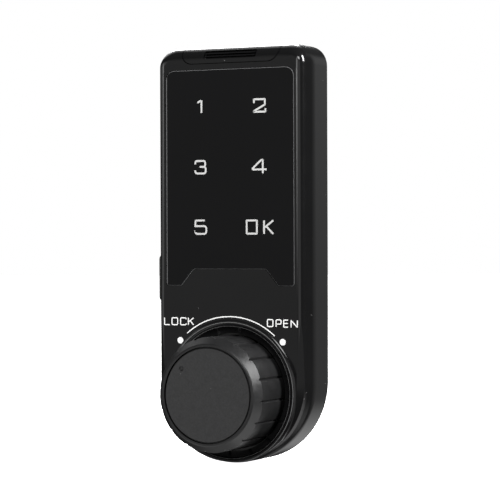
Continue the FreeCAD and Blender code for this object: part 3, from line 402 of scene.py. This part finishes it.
def ink(name, dark, light):
    """White ink, a little uneven in colour and gloss."""
    made, tree, shader, place = new_finish(name)
    white = blend_colours(tree, mottle(tree, place, 0.0006), dark, light)
    tree.links.new(white, shader.inputs["Base Color"])
    dried = between(tree, mottle(tree, place, 0.0004), *ink_roughness)
    tree.links.new(dried, shader.inputs["Roughness"])
    grain(tree, shader, mottle(tree, place, 0.00025, detail=2.0), depth=0.000003)
    return made


key_ink = ink("key_ink", (0.44, 0.44, 0.435), (0.58, 0.58, 0.57))
legend_ink = ink("legend_ink", (0.82, 0.82, 0.81), (0.93, 0.93, 0.92))


def print_strokes(name, plane, stroke, strokes, shade):
    """Prints strokes on the plane at this y. Each has whether it closes, how far its bends
    reach from their corners, and its corners in x and z. All but y is in millimetres."""
    film = bmesh.new()
    for layer, (closed, bend, corners) in enumerate(strokes):
        depth = plane + ink_sink - layer * ink_layer
        path = [film.verts.new((x / 1000, depth, z / 1000)) for x, z in corners]
        following = path[1:] + path[:1] if closed else path[1:]
        for pair in zip(path, following):
            film.edges.new(pair)
        if bend > 0.0:
            bends = path if closed else path[1:-1]
            bmesh.ops.bevel(film, geom=bends, offset=bend / 1000, offset_type="OFFSET",
                            segments=bend_steps, profile=0.5, affect="VERTICES",
                            clamp_overlap=True, material=-1)
        line = [edge for edge in film.edges if edge.is_wire]
        wall = bmesh.ops.extrude_edge_only(film, edges=line)
        front = [part for part in wall["geom"] if isinstance(part, bmesh.types.BMVert)]
        bmesh.ops.translate(film, verts=front, vec=(0.0, -ink_height, 0.0))
    bmesh.ops.recalc_face_normals(film, faces=film.faces)
    shape = bpy.data.meshes.new(name)
    film.to_mesh(shape)
    film.free()
    shape.materials.append(shade)
    legend = bpy.data.objects.new(name, shape)
    bpy.context.scene.collection.objects.link(legend)
    width = legend.modifiers.new("stroke_width", "SOLIDIFY")
    width.thickness = stroke / 1000
    width.offset = 0.0
    width.use_even_offset = True
    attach(legend, "lock_body")


def glyph(left, bottom, width, height, stroke, strokes):
    """Places strokes drawn on a unit square in a box of the print, in millimetres."""
    start_x = left + stroke / 2
    start_z = bottom + stroke / 2
    reach_x = width - stroke
    reach_z = height - stroke
    return [(closed, bend, [(start_x + x * reach_x, start_z + z * reach_z) for x, z in corners])
            for closed, bend, corners in strokes]


# A key's legend has its left, bottom, width and height in millimetres, and its strokes.
pane_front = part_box("touch_window")[0].y
key_stroke = 0.64
key_glyphs = {
    "key_1": (-12.45, 95.65, 2.15, 4.80, [
        (False, 0.25, [(0.0, 0.84), (0.72, 1.0), (1.0, 1.0), (1.0, 0.0)])]),
    "key_2": (9.20, 95.45, 5.00, 4.90, [
        (False, 0.75, [(0.0, 0.70), (0.0, 1.0), (0.95, 1.0), (0.95, 0.56), (0.0, 0.06), (0.0, 0.0),
                       (1.0, 0.0), (1.0, 0.26)])]),
    "key_3": (-13.42, 74.80, 4.70, 4.95, [
        (False, 0.70, [(0.0, 0.74), (0.0, 1.0), (0.95, 1.0), (0.95, 0.53), (0.42, 0.53)]),
        (False, 0.80, [(0.80, 0.53), (1.0, 0.53), (1.0, 0.0), (0.0, 0.0), (0.0, 0.26)])]),
    "key_4": (8.60, 74.45, 5.95, 5.25, [
        (False, 0.18, [(0.73, 0.0), (0.73, 1.0), (0.62, 1.0), (0.0, 0.38), (0.0, 0.30)]),
        (False, 0.00, [(0.0, 0.30), (1.0, 0.30)])]),
    "key_5": (-13.52, 54.00, 4.95, 5.25, [
        (False, 0.12, [(0.86, 1.0), (0.04, 1.0), (0.0, 0.52)]),
        (False, 1.30, [(0.04, 0.58), (1.0, 0.58), (1.0, 0.0), (0.0, 0.0), (0.0, 0.20)])]),
    "key_OK": (6.30, 54.00, 4.50, 5.15, [
        (True, 0.22, [(0.0, 0.0), (1.0, 0.0), (1.0, 1.0), (0.0, 1.0)])]),
}
key_k_place = (12.88, 53.90, 4.10, 5.20)
key_k = [
    (False, 0.0, [(0.0, 0.0), (0.0, 1.0)]),
    (False, 0.0, [(1.0, 1.0), (0.10, 0.49)]),
    (False, 0.0, [(0.24, 0.57), (1.0, 0.0)]),
]
for name, (left, bottom, width, height, strokes) in key_glyphs.items():
    placed = glyph(left, bottom, width, height, key_stroke, strokes)
    if name == "key_OK":
        placed += glyph(*key_k_place, key_stroke, key_k)
    print_strokes(name, pane_front, key_stroke, placed, key_ink)

word_stroke = 0.36
word_bend = 0.42
word_k = [
    (False, 0.0, [(0.0, 0.0), (0.0, 1.0)]),
    (False, 0.0, [(1.0, 1.0), (0.12, 0.46)]),
    (False, 0.0, [(0.34, 0.60), (1.0, 0.0)]),
]
word_o = [(True, word_bend, [(0.0, 0.0), (1.0, 0.0), (1.0, 1.0), (0.0, 1.0)])]
lock_word = (
    glyph(-25.55, 22.70, 2.40, 2.78, word_stroke, [
        (False, 0.2, [(0.0, 1.0), (0.0, 0.0), (1.0, 0.0)])])
    + glyph(-22.62, 22.72, 2.60, 2.76, word_stroke, word_o)
    + glyph(-19.24, 22.74, 2.55, 2.76, word_stroke, [
        (False, word_bend, [(1.0, 0.80), (1.0, 1.0), (0.0, 1.0), (0.0, 0.0), (1.0, 0.0),
                            (1.0, 0.20)])])
    + glyph(-16.22, 22.76, 2.40, 2.76, word_stroke, word_k)
)
print_strokes("legend_LOCK", face_front, word_stroke, lock_word, legend_ink)
open_word = (
    glyph(14.15, 22.58, 2.45, 2.74, word_stroke, word_o)
    + glyph(17.42, 22.52, 2.25, 2.74, word_stroke, [
        (False, word_bend, [(0.0, 0.0), (0.0, 1.0), (1.0, 1.0), (1.0, 0.40), (0.05, 0.40)])])
    + glyph(20.28, 22.46, 2.00, 2.74, word_stroke, [
        (False, 0.2, [(1.0, 1.0), (0.0, 1.0), (0.0, 0.0), (1.0, 0.0)]),
        (False, 0.0, [(0.05, 0.52), (0.95, 0.52)])])
    + glyph(23.06, 22.40, 2.70, 2.74, word_stroke, [
        (False, 0.15, [(0.0, 0.0), (0.0, 1.0), (1.0, 0.0), (1.0, 1.0)])])
)
print_strokes("legend_OPEN", face_front, word_stroke, open_word, legend_ink)

arc_radius = 25.95
arc_stroke = 0.37
arc_from = -39.4
arc_to = 41.2
arc_steps = 48
arc_turns = [arc_from + (arc_to - arc_from) * step / arc_steps for step in range(arc_steps + 1)]
arc_angles = [math.radians(turn) for turn in arc_turns]
arc_points = [(arc_radius * math.sin(angle), arc_radius * math.cos(angle)) for angle in arc_angles]
print_strokes("turn_arc", face_front, arc_stroke, [(False, 0.0, arc_points)], legend_ink)

dot_radius = 0.00112
dot_orbit = 0.02632
dot_angle = math.radians(48.2)
dot_shift = 0.00045
dot_turn = Matrix.Rotation(math.radians(90), 4, "X")
dot_film = bmesh.new()
for side in (-1, 1):
    dot_centre = Vector((side * dot_orbit * math.sin(dot_angle) + dot_shift,
                         face_front - ink_height / 2, dot_orbit * math.cos(dot_angle)))
    bmesh.ops.create_cone(dot_film, cap_ends=True, segments=48, radius1=dot_radius,
                          radius2=dot_radius, depth=ink_height + ink_sink,
                          matrix=Matrix.Translation(dot_centre) @ dot_turn)
dot_mesh = bpy.data.meshes.new("end_dots")
dot_film.to_mesh(dot_mesh)
dot_film.free()
dot_mesh.materials.append(legend_ink)
end_dots = bpy.data.objects.new("end_dots", dot_mesh)
bpy.context.scene.collection.objects.link(end_dots)
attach(end_dots, "lock_body")


# Knob: a moulded grip with sixteen shallow lobes and a satin bezel, and a matte disc inlaid
# in its front. Both are black ABS; the disc comes from a spark-eroded mould.
knob_dark = (0.0065, 0.0065, 0.0067)
knob_light = (0.0105, 0.0105, 0.0108)
knob_roughness = (0.29, 0.39)
knob_black, tree, shader, place = new_finish("knob_black")
black = blend_colours(tree, mottle(tree, place, 0.004), knob_dark, knob_light)
tree.links.new(black, shader.inputs["Base Color"])
satin = between(tree, mottle(tree, place, 0.003, detail=5.0), *knob_roughness)
tree.links.new(satin, shader.inputs["Roughness"])
grain(tree, shader, mottle(tree, place, 0.00035, detail=2.0), depth=0.0000035)
finish(knob_black, "knob_grip")

cap_dark = (0.0100, 0.0100, 0.0102)
cap_light = (0.0280, 0.0280, 0.0285)
cap_dust_grey = (0.20, 0.20, 0.20)
cap_roughness = (0.46, 0.62)
dimple_shade_black = (0.003, 0.003, 0.003)
dimple_shade_tilt = (-0.995, -0.94)
cap_black, tree, shader, place = new_finish("cap_black")
black = blend_colours(tree, mottle(tree, place, 0.0006, detail=5.0), cap_dark, cap_light)
dust = specks(tree, place, spacing=0.0045, size=0.00006)
dusty = blend_colours(tree, dust, black, cap_dust_grey)
facing = along_axes(tree, place.outputs["Normal"])
# Painted shade: faces of the cap that tilt away from the front, in its dimple, are painted near
# black.
dimple_shade = between(tree, facing["Y"], 0.0, 1.0, *dimple_shade_tilt)
tree.links.new(blend_colours(tree, dimple_shade, dusty, dimple_shade_black), shader.inputs["Base Color"])
matte = between(tree, mottle(tree, place, 0.002, detail=4.0), *cap_roughness)
tree.links.new(matte, shader.inputs["Roughness"])
grain(tree, shader, mottle(tree, place, 0.0007, detail=4.0), depth=0.000080)
finish(cap_black, "knob_cap")


# Rubber: the port cover in the left edge and the gasket behind the plate, moulded in a matte
# black elastomer.
rubber_dark = (0.010, 0.010, 0.010)
rubber_light = (0.022, 0.022, 0.021)
rubber_roughness = (0.62, 0.80)
rubber_black, tree, shader, place = new_finish("rubber_black")
black = blend_colours(tree, mottle(tree, place, 0.003, detail=4.0), rubber_dark, rubber_light)
tree.links.new(black, shader.inputs["Base Color"])
matte = between(tree, mottle(tree, place, 0.001), *rubber_roughness)
tree.links.new(matte, shader.inputs["Roughness"])
grain(tree, shader, mottle(tree, place, 0.0003), depth=0.000010)
finish(rubber_black, "port_cover", "door_gasket")


# Back plate: a zinc die casting, tumbled and left bare, screwed into the housing from behind.
# It is dull and a little blotched, as such castings are.
zinc_dark = (0.22, 0.22, 0.225)
zinc_light = (0.36, 0.36, 0.365)
zinc_roughness = (0.38, 0.60)
plate_grey, tree, shader, place = new_finish("plate_grey", metallic=0.9)
grey = blend_colours(tree, mottle(tree, place, 0.005, detail=6.0), zinc_dark, zinc_light)
tree.links.new(grey, shader.inputs["Base Color"])
tumbled = between(tree, mottle(tree, place, 0.0012, detail=4.0), *zinc_roughness)
tree.links.new(tumbled, shader.inputs["Roughness"])
grain(tree, shader, mottle(tree, place, 0.0007, detail=4.0), depth=0.000025)
finish(plate_grey, "back_plate")


# Turned and stamped metal: the screws, springs, spindle, rotor, clip, bolt and cam are steel
# or zinc, plated bright or passivated, and the contacts and the bush are brass. All carry the
# marks of the lathe or the rolling mill.
def metal(name, dark, light, roughness, crowding, depth):
    """Metal between two colours and two roughnesses, its marks crowded along an axis."""
    made, tree, shader, place = new_finish(name, metallic=1.0)
    marks = mottle(tree, place, 0.0016, 4.0, crowding)
    colour = blend_colours(tree, mottle(tree, place, 0.004, detail=5.0), dark, light)
    tree.links.new(colour, shader.inputs["Base Color"])
    tree.links.new(between(tree, marks, *roughness), shader.inputs["Roughness"])
    grain(tree, shader, marks, depth)
    return made


steel_bright = metal("steel_bright", (0.56, 0.56, 0.57), (0.62, 0.62, 0.63),
                     roughness=(0.22, 0.30), crowding=(1.0, 6.0, 1.0), depth=0.000004)
spindle_metal = metal("spindle_metal", (0.44, 0.44, 0.45), (0.49, 0.49, 0.50),
                      roughness=(0.26, 0.34), crowding=(1.0, 8.0, 1.0), depth=0.000006)
cam_zinc = metal("cam_zinc", (0.52, 0.51, 0.48), (0.58, 0.57, 0.54),
                 roughness=(0.30, 0.42), crowding=(0.6, 1.0, 5.0), depth=0.000006)
contact_brass = metal("contact_brass", (0.62, 0.47, 0.20), (0.74, 0.58, 0.28),
                      roughness=(0.22, 0.38), crowding=(1.0, 1.0, 5.0), depth=0.000004)
finish(steel_bright, "housing_screws", "board_screws", "battery_springs", "power_socket",
       "knob_screw", "spindle_clip", "detent_ball", "detent_spring", "lock_bolt",
       "solenoid_bracket", "bracket_screws", "cam_washer", "cam_screw")
finish(spindle_metal, "spindle", "locking_rotor")
finish(cam_zinc, "cam_blade", "spindle_sleeve")
finish(contact_brass, "battery_contact", "cover_contact", "spindle_bush")


# Inside pieces: the keypad board with its lamps, light guide, buzzer and chip, the battery
# tray and cells, the pane's glue and the solenoid. The cells show when their cover slides off,
# and the rest with the lock taken apart.
def moulded(name, dark, light, roughness, size, depth):
    """A moulded or coated skin between two colours and two roughnesses, its grain of a size."""
    made, tree, shader, place = new_finish(name)
    colour = blend_colours(tree, mottle(tree, place, size * 6, detail=4.0), dark, light)
    tree.links.new(colour, shader.inputs["Base Color"])
    sheen = between(tree, mottle(tree, place, size * 2), *roughness)
    tree.links.new(sheen, shader.inputs["Roughness"])
    grain(tree, shader, mottle(tree, place, size, detail=2.0), depth)
    return made


inner_black = moulded("inner_black", (0.018, 0.018, 0.018), (0.034, 0.034, 0.034),
                      roughness=(0.42, 0.60), size=0.0004, depth=0.000008)
light_white = moulded("light_white", (0.72, 0.72, 0.70), (0.86, 0.86, 0.84),
                      roughness=(0.35, 0.50), size=0.0006, depth=0.000004)
board_green = moulded("board_green", (0.015, 0.11, 0.045), (0.03, 0.17, 0.075),
                      roughness=(0.28, 0.42), size=0.0008, depth=0.000006)
adhesive_clear = moulded("adhesive_clear", (0.42, 0.42, 0.40), (0.56, 0.56, 0.53),
                         roughness=(0.30, 0.50), size=0.0010, depth=0.000006)
solenoid_blue = moulded("solenoid_blue", (0.05, 0.07, 0.14), (0.10, 0.12, 0.20),
                        roughness=(0.30, 0.46), size=0.0008, depth=0.000006)
cell_jacket = moulded("cell_jacket", (0.06, 0.18, 0.08), (0.10, 0.26, 0.12),
                      roughness=(0.22, 0.36), size=0.0015, depth=0.000004)
finish(inner_black, "battery_tray", "buzzer", "control_chip")
finish(light_white, "light_guide", "key_leds")
finish(board_green, "keypad_board")
finish(adhesive_clear, "window_adhesive")
finish(solenoid_blue, "solenoid")
finish(cell_jacket, "battery_cell_1", "battery_cell_2", "battery_cell_3")
